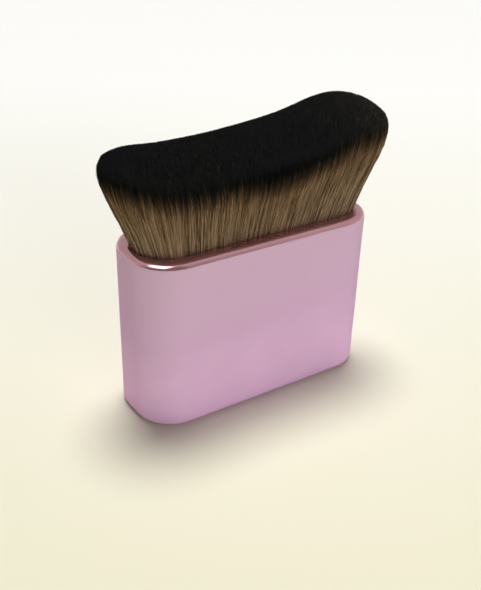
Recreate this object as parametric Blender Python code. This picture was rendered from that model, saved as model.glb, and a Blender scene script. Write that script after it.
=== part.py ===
"""Fade brush: a flat palm-grip brush that stands on its base, for dusting and blending at the barber's chair.

The grip is a drawn aluminium shell with a pierced mouth at the top and a bottom edge that is rolled in over
a base plate. Inside, from the bottom up, are a foam pad, a ribbed core block with a steel weight in its
pocket, and the cup that holds the bristle head in a bed of resin. Nothing on it moves.

Metres, +Z up, +X along the width, origin at the centre of the resting face.
"""

import math

import bmesh
import bpy

# Shell
HANDLE_WIDTH = 0.070
HANDLE_DEPTH = 0.026
HANDLE_HEIGHT = 0.047
HANDLE_CORNER = 0.0105
SHELL_WALL = 0.0008
SHOULDER_RADIUS = 0.0017
BASE_ROLL_RADIUS = 0.0017

# Mouth, as the land left round it
LAND_AT_ENDS = 0.0027
LAND_AT_SIDES = 0.0042
MOUTH_CORNER = 0.0082
MOUTH_EDGE_RADIUS = 0.0005

# Base plate and foam pad
PLATE_FLANGE = 0.0015
PAD_THICKNESS = 0.0030

# Cup and resin
CUP_DEPTH = 0.0210
CUP_WALL = 0.0009
CUP_FLOOR = 0.0015
COLLAR_THICKNESS = 0.0015
RESIN_DEPTH = 0.0060

# Core block and steel weight
CORE_TOP = 0.0020
CORE_WALL = 0.0016
CORE_RIB = 0.0016
WEIGHT_WIDTH = 0.036
WEIGHT_DEPTH = 0.012
WEIGHT_CORNER = 0.0015

# Bristle head: how far the tips spread past the mouth, and the wave they are trimmed to
FLARE_AT_ENDS = 0.0088
FLARE_AT_SIDES = 0.0044
TIP_CORNER = 0.0126
TIP_CROWN = 0.0060
CROWN_POWER = 2.4
# Height of the trimmed ridge over the mouth, at even stations from the -X end to the +X end
TRIM_HEIGHTS = (0.0283, 0.0248, 0.0248, 0.0255, 0.0267, 0.0302, 0.0299)

# Fits
GAP = 0.0003
CUTTER_OVERSHOOT = 0.002
SHORTEST_EDGE = 0.0002

# Fineness
CORNER_STEPS = 10
ARC_STEPS = 5
TRIM_STEPS = 18
CROWN_RINGS = (1.0, 0.92, 0.8, 0.65, 0.45, 0.22, 0.0)
SHARP_ANGLE = math.radians(35)
MERGE_DISTANCE = 0.000001

HALF_WIDTH = HANDLE_WIDTH / 2
HALF_DEPTH = HANDLE_DEPTH / 2
MOUTH_HALF_WIDTH = HALF_WIDTH - LAND_AT_ENDS
MOUTH_HALF_DEPTH = HALF_DEPTH - LAND_AT_SIDES
TIP_HALF_WIDTH = MOUTH_HALF_WIDTH + FLARE_AT_ENDS
TIP_HALF_DEPTH = MOUTH_HALF_DEPTH + FLARE_AT_SIDES

# Levels, from the resting face up
FLANGE_BOTTOM = BASE_ROLL_RADIUS + GAP
FLANGE_TOP = FLANGE_BOTTOM + PLATE_FLANGE
PAD_BOTTOM = FLANGE_TOP + GAP
PAD_TOP = PAD_BOTTOM + PAD_THICKNESS
CORE_BOTTOM = PAD_TOP + GAP
CUP_RIM = HANDLE_HEIGHT - SHELL_WALL - GAP
CUP_BOTTOM = CUP_RIM - CUP_DEPTH
CORE_LEVEL = CUP_BOTTOM - GAP
POCKET_ROOF = CORE_LEVEL - CORE_TOP
COLLAR_TOP = HANDLE_HEIGHT - SHOULDER_RADIUS - GAP
RESIN_BOTTOM = CUP_BOTTOM + CUP_FLOOR + GAP
RESIN_TOP = RESIN_BOTTOM + RESIN_DEPTH
ROOTS = RESIN_TOP + GAP


def material(name, colour, roughness, metallic=0.0):
    finish = bpy.data.materials.new(name)
    finish.use_nodes = True
    shader = finish.node_tree.nodes["Principled BSDF"]
    shader.inputs["Base Color"].default_value = (*colour, 1.0)
    shader.inputs["Roughness"].default_value = roughness
    shader.inputs["Metallic"].default_value = metallic
    return finish


def outline(half_width, half_depth, corner, side_steps=1, centre_x=0.0):
    """Rounded rectangle, anticlockwise from the +X end; the long sides may be divided."""
    corner = max(0.0, min(corner, half_depth - SHORTEST_EDGE, half_width - SHORTEST_EDGE))
    reach = half_width - corner
    points = []
    for sign_x, sign_y, start in ((1, 1, 0), (-1, 1, 90), (-1, -1, 180), (1, -1, 270)):
        for step in range(CORNER_STEPS + 1):
            angle = math.radians(start + 90 * step / CORNER_STEPS)
            x = sign_x * reach + corner * math.cos(angle)
            y = sign_y * (half_depth - corner) + corner * math.sin(angle)
            points.append((centre_x + x, y))
        if sign_x == sign_y:
            for step in range(1, side_steps):
                x = sign_x * reach * (1 - 2 * step / side_steps)
                points.append((centre_x + x, sign_y * half_depth))
    return points


def level(points, z):
    return [(x, y, z) for x, y in points]


def handle_ring(inset, z):
    """Outline of the grip, drawn in by an inset."""
    points = outline(HALF_WIDTH - inset, HALF_DEPTH - inset, HANDLE_CORNER - inset)
    return level(points, z)


def mouth_ring(outset, z, side_steps=1):
    """Outline of the mouth, grown by an outset."""
    points = outline(
        MOUTH_HALF_WIDTH + outset,
        MOUTH_HALF_DEPTH + outset,
        MOUTH_CORNER + outset,
        side_steps,
    )
    return level(points, z)


def quarter_arc(radius):
    """Steps of a quarter turn, as (radius left, height gained) pairs from the side to the top."""
    steps = []
    for step in range(ARC_STEPS + 1):
        angle = math.radians(90 * step / ARC_STEPS)
        steps.append((radius * (1 - math.cos(angle)), radius * math.sin(angle)))
    return steps


def loft(name, rings, finish, top="capped"):
    """One closed body through a stack of rings. Its top is capped flat, zipped along a ridge, or joined to
    its bottom ring to leave a way through."""
    bm = bmesh.new()
    loops = [[bm.verts.new(point) for point in ring] for ring in rings]
    pairs = list(zip(loops, loops[1:]))
    if top == "joined":
        pairs.append((loops[-1], loops[0]))
    else:
        bm.faces.new(loops[0])
    if top == "capped":
        bm.faces.new(loops[-1])
    for lower, upper in pairs:
        for i in range(len(lower)):
            bm.faces.new((lower[i - 1], lower[i], upper[i], upper[i - 1]))
    if top == "zipped":
        bmesh.ops.remove_doubles(bm, verts=loops[-1], dist=MERGE_DISTANCE)
    bmesh.ops.recalc_face_normals(bm, faces=bm.faces)
    if bm.calc_volume(signed=True) < 0:
        bmesh.ops.reverse_faces(bm, faces=bm.faces)
    mesh = bpy.data.meshes.new(name)
    bm.to_mesh(mesh)
    bm.free()
    mesh.shade_smooth()
    mesh.set_sharp_from_angle(angle=SHARP_ANGLE)
    mesh.materials.append(finish)
    body = bpy.data.objects.new(name, mesh)
    bpy.context.collection.objects.link(body)
    return body


def cut(body, name, rings):
    """Takes a lofted pocket out of a body."""
    cutter = loft(name, rings, body.data.materials[0])
    cutter.hide_render = True
    cutter.display_type = "WIRE"
    pocket = body.modifiers.new(name, "BOOLEAN")
    pocket.operation = "DIFFERENCE"
    pocket.object = cutter


def handle_shell(finish):
    """Drawn shell: bottom edge rolled in, straight wall, round shoulder, flat land and pierced mouth."""
    rings = []
    inner_roll = BASE_ROLL_RADIUS - SHELL_WALL
    inner_shoulder = SHOULDER_RADIUS - SHELL_WALL
    for inset, rise in reversed(quarter_arc(BASE_ROLL_RADIUS)):
        rings.append(handle_ring(inset, BASE_ROLL_RADIUS - rise))
    for inset, rise in quarter_arc(SHOULDER_RADIUS):
        rings.append(handle_ring(inset, HANDLE_HEIGHT - SHOULDER_RADIUS + rise))
    for drop, outset in reversed(quarter_arc(MOUTH_EDGE_RADIUS)):
        rings.append(mouth_ring(outset, HANDLE_HEIGHT - drop))
    rings.append(mouth_ring(0.0, HANDLE_HEIGHT - SHELL_WALL))
    for inset, rise in reversed(quarter_arc(inner_shoulder)):
        rings.append(handle_ring(SHELL_WALL + inset, HANDLE_HEIGHT - SHOULDER_RADIUS + rise))
    for inset, rise in quarter_arc(inner_roll):
        rings.append(handle_ring(SHELL_WALL + inset, BASE_ROLL_RADIUS - rise))
    return loft("handle_shell", rings, finish, top="joined")


def base_plate(finish):
    """Moulded plate that closes the grip: a boss through the rolled edge and a flange held above it."""
    boss = BASE_ROLL_RADIUS + GAP
    flange = SHELL_WALL + GAP
    rings = [
        handle_ring(boss, 0.0),
        handle_ring(boss, FLANGE_BOTTOM),
        handle_ring(flange, FLANGE_BOTTOM),
        handle_ring(flange, FLANGE_TOP),
    ]
    return loft("base_plate", rings, finish)


def foam_pad(finish):
    """Foam sheet that keeps the stack tight between the base plate and the core block."""
    inset = SHELL_WALL + 2 * GAP
    rings = [handle_ring(inset, PAD_BOTTOM), handle_ring(inset, PAD_TOP)]
    return loft("foam_pad", rings, finish)


def core_block(finish):
    """Moulded block, open underneath: a pocket for the weight and a lightening pocket at each end."""
    inset = SHELL_WALL + GAP
    body = loft("core_block", [handle_ring(inset, CORE_BOTTOM), handle_ring(inset, CORE_LEVEL)], finish)
    below = CORE_BOTTOM - CUTTER_OVERSHOOT
    pocket_half_width = WEIGHT_WIDTH / 2 + GAP
    pocket_half_depth = WEIGHT_DEPTH / 2 + GAP
    weight_pocket = outline(pocket_half_width, pocket_half_depth, WEIGHT_CORNER + GAP)
    cut(body, "weight_pocket", [level(weight_pocket, below), level(weight_pocket, POCKET_ROOF)])
    inner_x = pocket_half_width + CORE_RIB
    outer_x = HALF_WIDTH - inset - CORE_WALL
    end_half_depth = HALF_DEPTH - inset - CORE_WALL
    end_corner = (outer_x - inner_x) / 2
    for side, name in ((-1, "end_pocket_left"), (1, "end_pocket_right")):
        centre = side * (inner_x + outer_x) / 2
        end_pocket = outline((outer_x - inner_x) / 2, end_half_depth, end_corner, centre_x=centre)
        cut(body, name, [level(end_pocket, below), level(end_pocket, POCKET_ROOF)])
    return body


def steel_weight(finish):
    """Steel bar that gives the grip its heft and keeps it standing."""
    section = outline(WEIGHT_WIDTH / 2, WEIGHT_DEPTH / 2, WEIGHT_CORNER)
    rings = [level(section, CORE_BOTTOM), level(section, POCKET_ROOF - GAP)]
    return loft("steel_weight", rings, finish)


def bristle_cup(finish):
    """Moulded cup for the roots, with a collar that centres it in the shell under the shoulder."""
    collar = SHELL_WALL + GAP
    collar_bottom = COLLAR_TOP - COLLAR_THICKNESS
    rings = [
        mouth_ring(CUP_WALL, CUP_BOTTOM),
        mouth_ring(CUP_WALL, collar_bottom),
        handle_ring(collar, collar_bottom),
        handle_ring(collar, COLLAR_TOP),
        mouth_ring(CUP_WALL, COLLAR_TOP),
        mouth_ring(CUP_WALL, CUP_RIM),
        mouth_ring(0.0, CUP_RIM),
        mouth_ring(0.0, CUP_BOTTOM + CUP_FLOOR),
    ]
    return loft("bristle_cup", rings, finish)


def resin_bed(finish):
    """Cured resin under the roots."""
    rings = [mouth_ring(-GAP, RESIN_BOTTOM), mouth_ring(-GAP, RESIN_TOP)]
    return loft("resin_bed", rings, finish)


def trim_height(x):
    """Height of the trimmed ridge over the mouth: a smooth curve through the stations."""
    last = len(TRIM_HEIGHTS) - 1
    place = (x / TIP_HALF_WIDTH + 1) / 2 * last
    index = min(max(math.floor(place), 0), last - 1)
    t = place - index
    here = TRIM_HEIGHTS[index]
    after = TRIM_HEIGHTS[index + 1]
    before = TRIM_HEIGHTS[index - 1] if index > 0 else 2 * here - after
    beyond = TRIM_HEIGHTS[index + 2] if index + 2 <= last else 2 * after - here
    slope_here = (after - before) / 2
    slope_after = (beyond - here) / 2
    return (
        here * (2 * t**3 - 3 * t**2 + 1)
        + slope_here * (t**3 - 2 * t**2 + t)
        + after * (3 * t**2 - 2 * t**3)
        + slope_after * (t**3 - t**2)
    )


def crown_ring(share):
    """Ring on the trimmed face, at a share of the way from its ridge to its edge."""
    ridge = TIP_HALF_WIDTH - TIP_HALF_DEPTH
    points = outline(
        ridge + TIP_HALF_DEPTH * share,
        TIP_HALF_DEPTH * share,
        TIP_CORNER * share,
        TRIM_STEPS,
    )
    fall = TIP_CROWN * share**CROWN_POWER
    return [(x, y, HANDLE_HEIGHT + trim_height(x) - fall) for x, y in points]


def bristle_head(finish):
    """The whole head as one body: roots in the cup, flared sides and the domed, wave-trimmed face."""
    rings = [
        mouth_ring(-GAP, ROOTS, TRIM_STEPS),
        mouth_ring(-GAP, HANDLE_HEIGHT, TRIM_STEPS),
    ]
    rings += [crown_ring(share) for share in CROWN_RINGS]
    return loft("bristle_head", rings, finish, top="zipped")


for thing in list(bpy.data.objects):
    bpy.data.objects.remove(thing)

handle_shell(material("pink_anodised_aluminium", (0.58, 0.36, 0.46), 0.28, 1.0))
base_plate(material("dusky_pink_abs", (0.32, 0.17, 0.23), 0.45))
foam_pad(material("black_eva_foam", (0.03, 0.03, 0.03), 0.9))
core_block(material("white_abs", (0.75, 0.75, 0.72), 0.5))
steel_weight(material("zinc_plated_steel", (0.55, 0.56, 0.57), 0.35, 1.0))
bristle_cup(material("natural_polypropylene", (0.62, 0.6, 0.55), 0.5))
resin_bed(material("amber_epoxy", (0.45, 0.3, 0.1), 0.2))
bristle_head(material("dyed_pbt_filament", (0.1, 0.065, 0.04), 0.55))
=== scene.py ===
"""Fade brush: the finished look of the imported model, piece by piece in the order it is put together.

Metres, +Z up, +X along the width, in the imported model's own frame. Nothing on the brush moves.
"""

import math

import bmesh
import bpy
import numpy as np
from mathutils import Matrix, Vector


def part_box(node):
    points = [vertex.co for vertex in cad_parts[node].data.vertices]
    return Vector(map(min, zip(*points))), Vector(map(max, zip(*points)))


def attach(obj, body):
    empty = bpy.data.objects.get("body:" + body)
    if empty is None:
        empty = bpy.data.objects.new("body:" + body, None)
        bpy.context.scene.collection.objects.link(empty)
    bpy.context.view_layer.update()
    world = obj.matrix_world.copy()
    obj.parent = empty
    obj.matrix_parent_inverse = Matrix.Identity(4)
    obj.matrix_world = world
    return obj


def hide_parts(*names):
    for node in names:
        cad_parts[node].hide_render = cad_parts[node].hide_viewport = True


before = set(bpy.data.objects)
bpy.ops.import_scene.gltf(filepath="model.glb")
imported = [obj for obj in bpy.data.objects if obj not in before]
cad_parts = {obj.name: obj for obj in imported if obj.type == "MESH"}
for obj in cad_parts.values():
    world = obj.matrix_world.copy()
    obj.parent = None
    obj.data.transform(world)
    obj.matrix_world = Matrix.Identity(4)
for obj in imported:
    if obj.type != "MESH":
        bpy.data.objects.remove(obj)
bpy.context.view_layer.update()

MM = 0.001


# --------------------------------------------------------------------------------------------------
# Handle shell. One deep-drawn aluminium cup, upside down: its mouth is pierced for the bristles and
# its bottom edge is rolled in over the base plate. It is anodised pink all over, after the body is
# fine-blasted and the shoulder polished.

SHELL_CORNER = 10.5 * MM
SHELL_WALL = 0.8 * MM
SHOULDER_RADIUS = 1.7 * MM
ROLL_RADIUS = 1.7 * MM
MOUTH_HALF_WIDTH = 32.3 * MM
MOUTH_HALF_DEPTH = 8.8 * MM
MOUTH_CORNER = 8.2 * MM
MOUTH_EDGE_RADIUS = 0.5 * MM
BRIGHT_BAND = 1.3 * MM
PATCH_SHARE = 0.2
BRIDGE_LIFT = 1.0 * MM
SAME_LEVEL = 0.002 * MM
CORNER_SEGMENTS = 28
SHOULDER_SEGMENTS = 12
MOUTH_EDGE_SEGMENTS = 6
PIERCED_ANGLE = math.radians(60)

shell_low, shell_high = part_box("handle_shell")


def rounded_face(bm, half_width, half_depth, corner, z):
    """A flat face with four round corners, grown from a one-square grid."""
    square = bmesh.ops.create_grid(bm, x_segments=1, y_segments=1, size=1.0)["verts"]
    bmesh.ops.scale(bm, vec=(half_width, half_depth, 1.0), verts=square)
    bmesh.ops.translate(bm, vec=(0.0, 0.0, z), verts=square)
    rounded = bmesh.ops.bevel(
        bm,
        geom=square,
        offset=corner,
        affect="VERTICES",
        segments=CORNER_SEGMENTS,
        profile=0.5,
        material=-1,
    )
    return max(rounded["verts"][0].link_faces, key=lambda face: len(face.verts))


def edges_at(bm, z):
    """Edges that lie flat at a level."""
    return [e for e in bm.edges if all(abs(v.co.z - z) < SAME_LEVEL for v in e.verts)]


def round_edges(bm, edges, radius, segments):
    """Turns edges into arcs."""
    bmesh.ops.bevel(
        bm,
        geom=edges,
        offset=radius,
        affect="EDGES",
        segments=segments,
        profile=0.5,
        material=-1,
    )


def finished_object(name, mesh, slot, *finishes):
    """An object at the origin that rides on the brush and takes the finishes given. Its slot is not used.
    """
    piece = bpy.data.objects.new(name, mesh)
    bpy.context.scene.collection.objects.link(piece)
    for finish in finishes:
        mesh.materials.append(finish)
    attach(piece, "root")
    return piece


def mesh_from(name, bm):
    """A smooth-shaded mesh made from a bmesh, which is freed."""
    mesh = bpy.data.meshes.new(name)
    bm.to_mesh(mesh)
    bm.free()
    mesh.shade_smooth()
    return mesh


def colour(code):
    """Linear RGBA from an sRGB hex code."""
    parts = [int(code[i : i + 2], 16) / 255 for i in (1, 3, 5)]
    return (*[p / 12.92 if p <= 0.04045 else ((p + 0.055) / 1.055) ** 2.4 for p in parts], 1.0)


def new_finish(name):
    """A new material, its node tree and its shader."""
    finish = bpy.data.materials.new(name)
    finish.use_nodes = True
    return finish, finish.node_tree, finish.node_tree.nodes["Principled BSDF"]


def add_node(tree, kind, settings=None, **links):
    """Adds a node with its settings (properties or sockets by name) and its links from other sockets."""
    made = tree.nodes.new(kind)
    for key, value in (settings or {}).items():
        if key in made.inputs:
            made.inputs[key].default_value = value
        else:
            setattr(made, key, value)
    for key, source in links.items():
        tree.links.new(source, made.inputs[key])
    return made


def set_sockets(shader, values):
    """Sets a shader's sockets by name."""
    for key, value in values.items():
        shader.inputs[key].default_value = value


def set_ramp(ramp, stops):
    """Colour stops of a ramp, as (place, hex code) pairs."""
    elements = ramp.color_ramp.elements
    while len(elements) < len(stops):
        elements.new(0.5)
    for element, (place, code) in zip(elements, stops):
        element.position = place
        element.color = colour(code)


def anodised_body():
    """Fine-blasted, pink anodised aluminium: a satin metal that blurs the floor into soft bands."""
    finish, tree, shader = new_finish("pink_anodised_aluminium_blasted")
    set_sockets(shader, {"Metallic": 0.35, "Specular IOR Level": 0.15, "Specular Tint": colour("#b87898")})
    place = add_node(tree, "ShaderNodeTexCoord").outputs["Object"]
    # The pink is painted brighter towards the base, a painted reflection of a bright floor that the lamps
    # here don't give, and it also drifts over patches about 15 mm across.
    patches = add_node(tree, "ShaderNodeTexNoise", {"Scale": 65.0, "Detail": 2.0}, Vector=place)
    level = add_node(tree, "ShaderNodeSeparateXYZ", Vector=place).outputs["Z"]
    height = add_node(
        tree,
        "ShaderNodeMapRange",
        {"From Max": shell_high.z, "To Max": 1 - PATCH_SHARE},
        Value=level,
    )
    drift = add_node(tree, "ShaderNodeMath", {"operation": "MULTIPLY_ADD"})
    tree.links.new(patches.outputs["Fac"], drift.inputs[0])
    drift.inputs[1].default_value = PATCH_SHARE
    tree.links.new(height.outputs["Result"], drift.inputs[2])
    tint = add_node(tree, "ShaderNodeValToRGB", Fac=drift.outputs["Value"])
    set_ramp(tint, ((0.1, "#f7cdf5"), (0.5, "#dab5da"), (0.9, "#d6b5d3")))
    tree.links.new(tint.outputs["Color"], shader.inputs["Base Color"])
    # Blast marks are near 0.1 mm; drawn at 0.3 mm so that they show as a faint tooth.
    grit = add_node(tree, "ShaderNodeTexNoise", {"Scale": 3300.0, "Detail": 1.0}, Vector=place)
    rough = add_node(
        tree,
        "ShaderNodeMapRange",
        {"To Min": 0.44, "To Max": 0.52},
        Value=grit.outputs["Fac"],
    )
    tree.links.new(rough.outputs["Result"], shader.inputs["Roughness"])
    tooth = add_node(
        tree,
        "ShaderNodeBump",
        {"Strength": 0.06, "Distance": 0.03 * MM},
        Height=grit.outputs["Fac"],
    )
    tree.links.new(tooth.outputs["Normal"], shader.inputs["Normal"])
    return finish


def anodised_bright():
    """Polished, pink anodised aluminium: a near mirror on the shoulder, land and mouth edge."""
    finish, tree, shader = new_finish("pink_anodised_aluminium_polished")
    set_sockets(shader, {"Metallic": 0.7})
    place = add_node(tree, "ShaderNodeTexCoord").outputs["Object"]
    patches = add_node(tree, "ShaderNodeTexNoise", {"Scale": 65.0, "Detail": 2.0}, Vector=place)
    tint = add_node(tree, "ShaderNodeValToRGB", Fac=patches.outputs["Fac"])
    set_ramp(tint, ((0.3, "#daa2ab"), (0.7, "#e0aab2")))
    tree.links.new(tint.outputs["Color"], shader.inputs["Base Color"])
    # Polishing haze, in smears about 2 mm long.
    smear = add_node(tree, "ShaderNodeTexNoise", {"Scale": 500.0, "Detail": 3.0}, Vector=place)
    rough = add_node(
        tree,
        "ShaderNodeMapRange",
        {"To Min": 0.14, "To Max": 0.20},
        Value=smear.outputs["Fac"],
    )
    tree.links.new(rough.outputs["Result"], shader.inputs["Roughness"])
    return finish


bm = bmesh.new()
bottom = rounded_face(bm, shell_high.x, shell_high.y, SHELL_CORNER, shell_low.z)
risen = bmesh.ops.extrude_face_region(bm, geom=[bottom])["geom"]
risen_verts = [g for g in risen if isinstance(g, bmesh.types.BMVert)]
bmesh.ops.translate(bm, vec=(0.0, 0.0, shell_high.z - shell_low.z), verts=risen_verts)
round_edges(bm, edges_at(bm, shell_high.z), SHOULDER_RADIUS, SHOULDER_SEGMENTS)
round_edges(bm, edges_at(bm, shell_low.z), ROLL_RADIUS, SHOULDER_SEGMENTS)
ends = [f for f in bm.faces if len(f.verts) > 4]
bmesh.ops.delete(bm, geom=ends, context="FACES_ONLY")
land_edges = edges_at(bm, shell_high.z)
mouth_level = shell_high.z + BRIDGE_LIFT
mouth = rounded_face(bm, MOUTH_HALF_WIDTH, MOUTH_HALF_DEPTH, MOUTH_CORNER, mouth_level)
bmesh.ops.delete(bm, geom=[mouth], context="FACES_ONLY")
mouth_edges = edges_at(bm, mouth_level)
bmesh.ops.bridge_loops(bm, edges=land_edges + mouth_edges)
mouth_verts = {v for e in mouth_edges for v in e.verts}
bmesh.ops.translate(bm, vec=(0.0, 0.0, -BRIDGE_LIFT), verts=list(mouth_verts))
bmesh.ops.recalc_face_normals(bm, faces=bm.faces)
bmesh.ops.solidify(bm, geom=bm.faces[:], thickness=SHELL_WALL)
pierced = [
    e
    for e in edges_at(bm, shell_high.z)
    if len(e.link_faces) == 2 and e.calc_face_angle() > PIERCED_ANGLE
]
round_edges(bm, pierced, MOUTH_EDGE_RADIUS, MOUTH_EDGE_SEGMENTS)
bright_level = shell_high.z - BRIGHT_BAND
for face in bm.faces:
    face.material_index = int(face.calc_center_median().z > bright_level)
shell = finished_object(
    "anodised_shell_body",
    mesh_from("anodised_shell_body", bm),
    "anodised_shell",
    anodised_body(),
    anodised_bright(),
)
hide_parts("handle_shell")
shell_shading = shell.modifiers.new("flat_face_shading", "WEIGHTED_NORMAL")
shell_shading.keep_sharp = True


# --------------------------------------------------------------------------------------------------
# Base plate. Moulded ABS that closes the grip: a boss fills the rolled opening and the brush stands
# on it. It is put in before the edge is rolled, and its flange keeps it there.


def moulded_finish(name, dark, light, roughness, patch_scale, grain_scale, grain_depth):
    """A material whose tone drifts over patches, with a fine raised grain; scales in waves to the metre."""
    finish, tree, shader = new_finish(name)
    place = add_node(tree, "ShaderNodeTexCoord").outputs["Object"]
    patches = add_node(tree, "ShaderNodeTexNoise", {"Scale": patch_scale, "Detail": 2.0}, Vector=place)
    tint = add_node(tree, "ShaderNodeValToRGB", Fac=patches.outputs["Fac"])
    set_ramp(tint, ((0.3, dark), (0.7, light)))
    tree.links.new(tint.outputs["Color"], shader.inputs["Base Color"])
    grit = add_node(tree, "ShaderNodeTexNoise", {"Scale": grain_scale, "Detail": 2.0}, Vector=place)
    grain = grit.outputs["Fac"]
    low, high = roughness
    rough = add_node(tree, "ShaderNodeMapRange", {"To Min": low, "To Max": high}, Value=grain)
    tree.links.new(rough.outputs["Result"], shader.inputs["Roughness"])
    relief = add_node(tree, "ShaderNodeBump", {"Strength": 0.4, "Distance": grain_depth}, Height=grain)
    tree.links.new(relief.outputs["Normal"], shader.inputs["Normal"])
    return finish, shader


def refinish(node, finish):
    """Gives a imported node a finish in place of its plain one."""
    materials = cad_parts[node].data.materials
    materials.clear()
    materials.append(finish)


# Moulded ABS from a spark-eroded tool: a satin grain, drawn at 0.6 mm, that breaks up the light on
# the underside.
base_finish, base_shader = moulded_finish(
    "dusky_pink_abs_spark_textured", "#9d6f83", "#a8798d", (0.42, 0.55), 60.0, 1700.0, 0.02 * MM
)
set_sockets(base_shader, {"IOR": 1.53})
refinish("base_plate", base_finish)


# --------------------------------------------------------------------------------------------------
# Foam pad. A die-cut sheet of closed-cell EVA laid on the base plate. It keeps the stack above it
# tight and quiet once the edge is rolled in.

# Skived EVA foam: open cut cells near 0.4 mm, which leave it matt.
foam_finish, foam_shader = moulded_finish(
    "black_eva_foam_skived", "#1d1d1e", "#2b2b2c", (0.85, 0.98), 90.0, 2500.0, 0.08 * MM
)
set_sockets(foam_shader, {"IOR": 1.48})
refinish("foam_pad", foam_finish)


# --------------------------------------------------------------------------------------------------
# Core block and steel weight. A ribbed ABS moulding fills the grip under the cup; a sawn steel bar
# slides into its middle pocket from below and gives the brush its heft.

# Plain moulded ABS: white, half gloss, with soft flow marks some 20 mm apart.
core_finish, core_shader = moulded_finish(
    "white_abs_moulded", "#dddcd6", "#e8e7e1", (0.38, 0.48), 50.0, 1200.0, 0.01 * MM
)
set_sockets(core_shader, {"IOR": 1.53})
refinish("core_block", core_finish)

# Bright zinc on mild steel: a cool metal with a mottle about 1.5 mm across from the plating bath.
weight_finish, weight_shader = moulded_finish(
    "mild_steel_zinc_plated", "#a9adb1", "#c3c6c8", (0.28, 0.42), 650.0, 1500.0, 0.01 * MM
)
set_sockets(weight_shader, {"Metallic": 1.0})
refinish("steel_weight", weight_finish)


# --------------------------------------------------------------------------------------------------
# Bristle cup and resin bed. The cup is a thin polypropylene moulding whose collar centres it under the
# shoulder; the filament roots stand in a bed of epoxy that is poured into it and cured.

# Unpigmented polypropylene: waxy and milky, with light carried a little way under its skin.
cup_finish, cup_shader = moulded_finish(
    "natural_polypropylene_moulded", "#d6d2c6", "#e1ddd2", (0.40, 0.52), 70.0, 1400.0, 0.01 * MM
)
set_sockets(cup_shader, {"IOR": 1.49, "Subsurface Weight": 0.25, "Subsurface Scale": 1.2 * MM})
refinish("bristle_cup", cup_finish)

# Cast epoxy: amber and glossy, with cloudy swirls some 4 mm across where it wetted the roots.
resin_finish, resin_shader = moulded_finish(
    "amber_epoxy_cast", "#8a5a1e", "#b07c34", (0.08, 0.20), 250.0, 900.0, 0.01 * MM
)
set_sockets(resin_shader, {"IOR": 1.55})
refinish("resin_bed", resin_finish)


# --------------------------------------------------------------------------------------------------
# Bristle core. The imported mass of filaments inside the head, from the roots to just under the trimmed
# face. It closes the gaps between the drawn filaments: a darker brown of painted shade, then the black dye.

CORE_DEPTH = 1.5 * MM
CORE_DROP = 3.0 * MM
TIP_LEAN = 1.0 * MM
MERGE_DISTANCE = 0.001 * MM
CORE_BLACK_START = 56 * MM
CORE_BLACK_FULL = 60 * MM
# At even stations from the -X end to the +X end: height of the trimmed ridge over the mouth, and
# length of the black at the tips.
TRIM_HEIGHTS = np.array((27.6, 24.9, 24.6, 25.4, 27.0, 29.8, 29.4)) * MM
DYE_LENGTHS = np.array((2.8, 2.6, 2.6, 4.1, 3.2, 1.6, 0.8)) * MM
TIP_CROWN = 5.0 * MM
CROWN_POWER = 2.4
EDGE_ROUND = 1.4 * MM
EDGE_SHARE = 0.12

head_low, head_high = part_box("bristle_head")
tip_ridge = head_high.x - head_high.y


def along_stations(values, x):
    """Reads a smooth curve through the stations' values (cubic Hermite spans)."""
    last = len(values) - 1
    place = (np.clip(x / head_high.x, -1, 1) + 1) / 2 * last
    index = np.clip(np.floor(place).astype(int), 0, last - 1)
    t = place - index
    padded = np.r_[values[0], values, values[-1]]
    before, here, after, beyond = (padded[index + step] for step in range(4))
    return (
        here * (2 * t**3 - 3 * t**2 + 1)
        + (after - before) / 2 * (t**3 - 2 * t**2 + t)
        + after * (3 * t**2 - 2 * t**3)
        + (beyond - here) / 2 * (t**3 - t**2)
    )


def trimmed_face(x, share):
    """Level of the trimmed face, at a share of the way from its ridge to its rounded edge."""
    rounding = EDGE_ROUND * np.clip(1 - (1 - share) / EDGE_SHARE, 0, 1) ** 2
    return shell_high.z + along_stations(TRIM_HEIGHTS, x) - TIP_CROWN * share**CROWN_POWER - rounding


def painted_shade_filament_finish():
    """Dyed PBT filament, packed: brown darkened as painted shade, with painted dark gaps between strands
    as upright streaks 0.4 mm wide, then black.
    """
    finish, tree, shader = new_finish("dyed_pbt_filament_packed_painted_shade")
    set_sockets(shader, {"Roughness": 0.7, "IOR": 1.5, "Specular IOR Level": 0.2})
    place = add_node(tree, "ShaderNodeTexCoord").outputs["Object"]
    stretched = add_node(tree, "ShaderNodeMapping", {"Scale": (1.0, 1.0, 0.06)}, Vector=place)
    streak = add_node(
        tree,
        "ShaderNodeTexNoise",
        {"Scale": 2500.0, "Detail": 2.0},
        Vector=stretched.outputs["Vector"],
    )
    # Painted shade: this brown is darker than the loose filaments' and streaked darker, as the shade in the
    # gaps.
    brown = add_node(tree, "ShaderNodeValToRGB", Fac=streak.outputs["Fac"])
    set_ramp(brown, ((0.3, "#241a10"), (0.7, "#3f3020")))
    level = add_node(tree, "ShaderNodeSeparateXYZ", Vector=place).outputs["Z"]
    dyed = add_node(
        tree,
        "ShaderNodeMapRange",
        {"From Min": CORE_BLACK_START, "From Max": CORE_BLACK_FULL},
        Value=level,
    )
    tone = add_node(tree, "ShaderNodeMix", {"data_type": "RGBA"})
    tree.links.new(dyed.outputs["Result"], tone.inputs["Factor"])
    tree.links.new(brown.outputs["Color"], tone.inputs[6])
    tone.inputs[7].default_value = colour("#0a0b0a")
    tree.links.new(tone.outputs[2], shader.inputs["Base Color"])
    return finish


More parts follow.
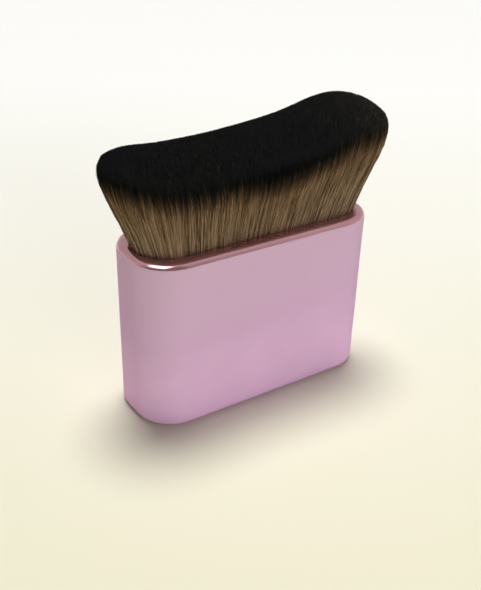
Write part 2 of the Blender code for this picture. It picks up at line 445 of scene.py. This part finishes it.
bm = bmesh.new()
bm.from_mesh(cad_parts["bristle_head"].data)
bmesh.ops.remove_doubles(bm, verts=bm.verts, dist=MERGE_DISTANCE)
bm.normal_update()
for vert in bm.verts:
    risen = max(0.0, vert.co.z - shell_high.z) / (head_high.z - shell_high.z)
    inward = Vector((vert.normal.x, vert.normal.y, 0.0)) * CORE_DEPTH
    vert.co += Vector((TIP_LEAN, 0.0, -CORE_DROP)) * risen - inward
core = finished_object("bristle_core", mesh_from("bristle_core", bm), "filament", painted_shade_filament_finish())
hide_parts("bristle_head")


# --------------------------------------------------------------------------------------------------
# Filaments. Crimped PBT monofilament, brown, flared from the mouth and trimmed to a wave, then dipped
# in black dye. Real ones are 0.1 mm thick; these are drawn up to twice that, so that the head fills
# with fewer of them.

SIDE_COUNT = 12600
SIDE_LAYER = 0.90
SIDE_RADIUS = 0.06 * MM
TIP_COUNT = 27000
TIP_STUB = 6.0 * MM
TIP_RADIUS = 0.10 * MM
TIP_LAYER = 0.99
ROOT_DEPTH = 1.0 * MM
ROOT_LEAN = 0.35 * MM
SWELL = 0.8 * MM
# A filament's bow, t^3 (1 - t) along its length, peaks near 0.105; this brings the peak to one swell.
SWELL_SCALE = 9.5
TIP_TURN_IN = 0.6 * MM
SIDE_WANDER = 0.25 * MM
TIP_WANDER = 0.2 * MM
TRIM_SCATTER = 0.15 * MM
DYE_SCATTER = 0.9 * MM
CLUMP_WIDTH = 0.22 * MM
DRAWS_PER_PLACE = 40
CRIMP_WAVES = 1.8
CRIMP_DEPTH = 0.14 * MM
BRISTLE_GAP = 0.1 * MM
SIDES = 4
# On the map, a filament's sides stand a step apart; black starts at the dye's place, and the dye's span
# is the length of filament that would fill the map's height.
MAP_SIDE_STEP = 0.0004
DYE_PLACE = 0.70
DYE_SPAN = 40 * MM
# Tone runs from deep (0) to pale (1).
SIDE_TONE = 0.46
CLUMP_TONE = 0.10
STRAND_TONE = 0.30
TIP_TONE = 0.50
TIP_STRAND_TONE = 0.25
PALEST_TONE = 0.99

root_half_width = MOUTH_HALF_WIDTH - BRISTLE_GAP
root_half_depth = MOUTH_HALF_DEPTH - BRISTLE_GAP
root_ridge = root_half_width - root_half_depth


def scatter(rng, count, low, high):
    """Places on the trimmed face, x and y, between two shares of the way from its ridge to its edge."""
    x = rng.uniform(-head_high.x, head_high.x, count * DRAWS_PER_PLACE)
    y = rng.uniform(-head_high.y, head_high.y, count * DRAWS_PER_PLACE)
    share = face_share(x, y)
    kept = np.flatnonzero((share > low) & (share <= high))[:count]
    return x[kept], y[kept]


def face_share(x, y):
    """How far a place is from the ridge of the face, as a share of the way to its edge."""
    return np.hypot(x - np.clip(x, -tip_ridge, tip_ridge), y) / head_high.y


def smooth_noise(rng, along, width):
    """One value for each place along a line, drifting over a width."""
    knots = rng.normal(size=int(np.ptp(along) / width) + 3)
    return np.interp((along - along.min()) / width, np.arange(len(knots)), knots)


def filament_piece(name, path, radii, tone, dye, finish):
    """Tapered filaments as one mesh; its map holds a filament's tone across and its dye upwards."""
    rings = path.shape[1]
    strands = bpy.data.curves.new(name, "CURVE")
    strands.dimensions = "3D"
    strands.bevel_depth = 1.0
    strands.bevel_resolution = 0
    strands.use_fill_caps = True
    points = np.concatenate((path, np.ones((*path.shape[:2], 1))), axis=2).reshape(len(path), -1)
    for line in points:
        spline = strands.splines.new("POLY")
        spline.points.add(rings - 1)
        spline.points.foreach_set("co", line)
        spline.points.foreach_set("radius", radii)
    holder = bpy.data.objects.new(name, strands)
    mesh = bpy.data.meshes.new_from_object(holder)
    mesh.name = name
    bpy.data.objects.remove(holder)
    bpy.data.curves.remove(strands)
    # The caps come first in the mesh, from the last strand to the first, each tip before its root.
    corner = np.empty(len(mesh.loops), int)
    mesh.loops.foreach_get("vertex_index", corner)
    caps = 2 * SIDES * len(path)
    tube = corner - caps
    strand = np.where(tube < 0, len(path) - 1 - corner // (2 * SIDES), tube // (SIDES * rings))
    cap_ring = np.where(corner // SIDES % 2 == 0, rings - 1, 0)
    ring = np.where(tube < 0, cap_ring, tube // SIDES % rings)
    places = np.column_stack((tone[strand] + corner % SIDES * MAP_SIDE_STEP, dye[strand, ring]))
    while mesh.uv_layers:
        mesh.uv_layers.remove(mesh.uv_layers[0])
    mesh.uv_layers.new(name="OFBake").data.foreach_set("uv", places.ravel())
    bm = bmesh.new()
    bm.from_mesh(mesh)
    bmesh.ops.remove_doubles(bm, verts=bm.verts, dist=MERGE_DISTANCE)
    bm.to_mesh(mesh)
    bm.free()
    mesh.shade_smooth()
    return finished_object(name, mesh, "filament", finish)


def loose_filament_finish():
    """Dyed PBT monofilament: brown that varies by the strand, painted lighter near the roots, rusty where
    the dye thins, then black.
    """
    finish, tree, shader = new_finish("dyed_pbt_filament_crimped")
    set_sockets(shader, {"Roughness": 0.65, "IOR": 1.5, "Specular IOR Level": 0.06})
    chart = add_node(tree, "ShaderNodeUVMap", {"uv_map": "OFBake"})
    split = add_node(tree, "ShaderNodeSeparateXYZ", Vector=chart.outputs["UV"])
    tone, dye = split.outputs["X"], split.outputs["Y"]
    # Painted light: both ramps are lighter towards the roots than further up, to offset the shade under the
    # rim.
    deep = add_node(tree, "ShaderNodeValToRGB", Fac=dye)
    set_ramp(
        deep,
        (
            (0.10, "#63503c"),
            (0.58, "#523d29"),
            (0.65, "#30251b"),
            (0.70, "#15120e"),
            (0.74, "#080a09"),
        ),
    )
    pale = add_node(tree, "ShaderNodeValToRGB", Fac=dye)
    set_ramp(
        pale,
        (
            (0.10, "#cbb598"),
            (0.58, "#b0916f"),
            (0.65, "#6b523c"),
            (0.70, "#302a22"),
            (0.74, "#0a0c0b"),
        ),
    )
    strand = add_node(tree, "ShaderNodeMix", {"data_type": "RGBA"})
    tree.links.new(tone, strand.inputs[0])
    tree.links.new(deep.outputs["Color"], strand.inputs[6])
    tree.links.new(pale.outputs["Color"], strand.inputs[7])
    tree.links.new(strand.outputs[2], shader.inputs["Base Color"])
    return finish


rng = np.random.default_rng(7)
filament_finish = loose_filament_finish()


def lay_filaments(x, y, along, wander, depth):
    """Paths up to the trimmed face, from the mouth or from a depth under the face, and their dye."""
    count = len(x)
    ridge_x = np.clip(x, -tip_ridge, tip_ridge)
    share = face_share(x, y)
    offset = np.column_stack((x - ridge_x, y)) / head_high.y
    root = np.column_stack((ridge_x / tip_ridge * root_ridge, np.zeros(count))) + offset * root_half_depth
    root += rng.normal(scale=wander, size=(count, 2))
    tip = np.column_stack((x, y)) + rng.normal(scale=wander / 2, size=(count, 2))
    tip_level = trimmed_face(x + TIP_LEAN, share)
    tip_level = tip_level - np.abs(rng.normal(scale=TRIM_SCATTER, size=count))
    root_level = np.full(count, shell_high.z - ROOT_DEPTH)
    t = along[None, :]
    if depth:
        length = tip_level - root_level
        t = 1 - (1 - t) * (depth / length)[:, None]
    t = np.broadcast_to(t, (count, len(along)))
    flat = root[:, None, :] * (1 - t[..., None]) + tip[:, None, :] * t[..., None]
    swell = (SWELL * SWELL_SCALE * t**3 * (1 - t) - TIP_TURN_IN * t**8)[..., None] * offset[:, None, :]
    phase = rng.uniform(0, 2 * np.pi, size=(count, 1))
    crimp = np.sin(2 * np.pi * CRIMP_WAVES * t + phase) * np.sin(np.pi * t)
    flat = flat + swell + rng.normal(scale=CRIMP_DEPTH, size=(count, 1, 2)) * crimp[..., None]
    flat[..., 0] += ROOT_LEAN * (1 - t) + TIP_LEAN * t
    level = root_level[:, None] * (1 - t) + tip_level[:, None] * t
    start = tip_level - along_stations(DYE_LENGTHS, x) + rng.normal(scale=DYE_SCATTER, size=count)
    dye = np.clip(DYE_PLACE + (level - start[:, None]) / DYE_SPAN, 0.0, 1.0)
    return np.concatenate((flat, level[..., None]), axis=2), dye


side_along = np.array((0.0, 0.16, 0.32, 0.48, 0.64, 0.78, 0.91, 1.0))
side_radii = SIDE_RADIUS * np.array((1.0, 1.0, 1.0, 0.95, 0.9, 0.85, 0.75, 0.5))
x, y = scatter(rng, SIDE_COUNT, SIDE_LAYER, 1.0)
path, dye = lay_filaments(x, y, side_along, SIDE_WANDER, None)
clump = smooth_noise(rng, x + 2 * head_high.x * (y > 0), CLUMP_WIDTH)
tone = SIDE_TONE + CLUMP_TONE * clump + STRAND_TONE * rng.normal(size=len(x))
tone = np.clip(tone, 0.0, PALEST_TONE)
for name, chosen in (
    ("bristle_front_left_filaments", (y < 0) & (x < 0)),
    ("bristle_front_right_filaments", (y < 0) & (x >= 0)),
    ("bristle_back_left_filaments", (y >= 0) & (x < 0)),
    ("bristle_back_right_filaments", (y >= 0) & (x >= 0)),
):
    filament_piece(name, path[chosen], side_radii, tone[chosen], dye[chosen], filament_finish)

tip_along = np.array((0.0, 0.6, 1.0))
tip_radii = TIP_RADIUS * np.array((1.0, 0.95, 0.55))
x, y = scatter(rng, TIP_COUNT, 0.0, TIP_LAYER)
path, dye = lay_filaments(x, y, tip_along, TIP_WANDER, TIP_STUB)
tone = np.clip(TIP_TONE + TIP_STRAND_TONE * rng.normal(size=len(x)), 0.0, PALEST_TONE)
third = head_high.x / 3
for name, chosen in (
    ("bristle_left_tips", x < -third),
    ("bristle_middle_tips", np.abs(x) <= third),
    ("bristle_right_tips", x > third),
):
    filament_piece(name, path[chosen], tip_radii, tone[chosen], dye[chosen], filament_finish)


# --------------------------------------------------------------------------------------------------
# Floor. A plain sheet of cream, matt paper under the brush, with painted light that makes it paler
# further back, where it meets the backdrop.

FLOOR_SIZE = 20.0
CREAM_PLACE = -0.10
WHITE_PLACE = 0.30
FLOOR_TURN = math.radians(34.0)


def floor_finish():
    """Matt paper: cream near the brush, with painted light that makes it whiter further back."""
    finish, tree, shader = new_finish("cream_paper_matt")
    set_sockets(shader, {"Roughness": 0.9, "Specular IOR Level": 0.1})
    place = add_node(tree, "ShaderNodeTexCoord").outputs["Object"]
    turned = add_node(tree, "ShaderNodeMapping", {"Rotation": (0.0, 0.0, FLOOR_TURN)}, Vector=place)
    distance = add_node(tree, "ShaderNodeSeparateXYZ", Vector=turned.outputs["Vector"]).outputs["Y"]
    # Painted light: the paper is painted whiter further back, for a backdrop lit brighter there.
    painted_light_fade = add_node(
        tree,
        "ShaderNodeMapRange",
        {"From Min": CREAM_PLACE, "From Max": WHITE_PLACE},
        Value=distance,
    )
    tint = add_node(tree, "ShaderNodeValToRGB", Fac=painted_light_fade.outputs["Result"])
    set_ramp(tint, ((0.0, "#e3dfc3"), (0.5, "#f2f0e4"), (1.0, "#f9f8f4")))
    tree.links.new(tint.outputs["Color"], shader.inputs["Base Color"])
    return finish


bm = bmesh.new()
bmesh.ops.create_grid(bm, x_segments=1, y_segments=1, size=FLOOR_SIZE / 2)
floor_mesh = bpy.data.meshes.new("floor")
bm.to_mesh(floor_mesh)
bm.free()
floor_mesh.materials.append(floor_finish())
floor = bpy.data.objects.new("floor", floor_mesh)
bpy.context.scene.collection.objects.link(floor)


# --------------------------------------------------------------------------------------------------
# Light. An even overhead light, a soft box at the left that only shows as a highlight, a fill in front
# that shows no highlight, and a pale room that is darker behind the camera.

OVERHEAD_STRENGTH = 3.0
OVERHEAD_SPREAD = math.radians(22.0)
OVERHEAD_FROM = Vector((0.12, 0.24, 1.3))
ROOM_TURN = math.radians(34.0)
DARK_WALL_PLACE = -0.65
PALE_WALL_PLACE = -0.15
DIRECT_LEVEL = 1.0
BOUNCE_LEVEL = 0.167


def soft_box(name, place, aim, size, watts):
    """A square area light at a place, facing a point."""
    lamp = bpy.data.lights.new(name, "AREA")
    lamp.size = size
    lamp.energy = watts
    box = bpy.data.objects.new(name, lamp)
    bpy.context.scene.collection.objects.link(box)
    box.location = place
    box.rotation_euler = (Vector(place) - Vector(aim)).to_track_quat("Z", "Y").to_euler()
    return box


overhead = bpy.data.lights.new("overhead_light", "SUN")
overhead.energy = OVERHEAD_STRENGTH
overhead.angle = OVERHEAD_SPREAD
overhead_light = bpy.data.objects.new("overhead_light", overhead)
bpy.context.scene.collection.objects.link(overhead_light)
overhead_light.rotation_euler = OVERHEAD_FROM.to_track_quat("Z", "Y").to_euler()

left_soft_box = soft_box("left_soft_box", (-0.46, -0.23, 0.85), (0.0, 0.0, 0.04), 0.70, 6.5)
left_soft_box.visible_diffuse = False
front_fill = soft_box("front_fill", (-0.04, -0.80, 0.14), (0.0, 0.0, 0.03), 0.5, 3.3)
front_fill.visible_glossy = False

room = bpy.data.worlds.new("studio_room")
room.use_nodes = True
tree = room.node_tree
outlook = add_node(tree, "ShaderNodeTexCoord").outputs["Generated"]
turned = add_node(tree, "ShaderNodeMapping", {"Rotation": (0.0, 0.0, ROOM_TURN)}, Vector=outlook)
away = add_node(tree, "ShaderNodeSeparateXYZ", Vector=turned.outputs["Vector"]).outputs["Y"]
walls = add_node(
    tree,
    "ShaderNodeMapRange",
    {"From Min": DARK_WALL_PLACE, "From Max": PALE_WALL_PLACE},
    Value=away,
)
shade = add_node(tree, "ShaderNodeValToRGB", Fac=walls.outputs["Result"])
set_ramp(shade, ((0.0, "#3f3f41"), (1.0, "#cecece")))
# The camera sees a plain pale backdrop in place of the walls, and the walls add little diffuse light.
path_kind = add_node(tree, "ShaderNodeLightPath")
backdrop = add_node(tree, "ShaderNodeMix", {"data_type": "RGBA"})
tree.links.new(path_kind.outputs["Is Camera Ray"], backdrop.inputs[0])
tree.links.new(shade.outputs["Color"], backdrop.inputs[6])
backdrop.inputs[7].default_value = colour("#fbf9f0")
level = add_node(
    tree,
    "ShaderNodeMapRange",
    {"To Min": DIRECT_LEVEL, "To Max": BOUNCE_LEVEL},
    Value=path_kind.outputs["Is Diffuse Ray"],
)
background = tree.nodes["Background"]
tree.links.new(backdrop.outputs[2], background.inputs["Color"])
tree.links.new(level.outputs["Result"], background.inputs["Strength"])
bpy.context.scene.world = room
bpy.context.scene.view_settings.view_transform = "Standard"


# --------------------------------------------------------------------------------------------------
# Camera. Held close, above the left end, looking down at the front and the trimmed face. The lens shift
# is small and only places the brush in the frame.

CAMERA_AZIMUTH = math.radians(-34.31)
CAMERA_ELEVATION = math.radians(29.53)
CAMERA_ROLL = math.radians(1.72)
CAMERA_DISTANCE = 0.22935
CAMERA_AIM = (0.0, 0.0, 0.0235)
FOCAL_LENGTH = 51.06
FRAME_WIDTH = 36.0
SHIFT_ACROSS = -0.0056
SHIFT_UP = 0.0100

lens = bpy.data.cameras.new("camera")
lens.sensor_width = FRAME_WIDTH
lens.lens = FOCAL_LENGTH
lens.shift_x = SHIFT_ACROSS
lens.shift_y = SHIFT_UP
lens.clip_start = 0.01
camera = bpy.data.objects.new("camera", lens)
bpy.context.scene.collection.objects.link(camera)
camera.matrix_world = (
    Matrix.Translation(CAMERA_AIM)
    @ Matrix.Rotation(CAMERA_AZIMUTH, 4, "Z")
    @ Matrix.Rotation(math.pi / 2 - CAMERA_ELEVATION, 4, "X")
    @ Matrix.Rotation(CAMERA_ROLL, 4, "Z")
    @ Matrix.Translation((0.0, 0.0, CAMERA_DISTANCE))
)
bpy.context.scene.camera = camera
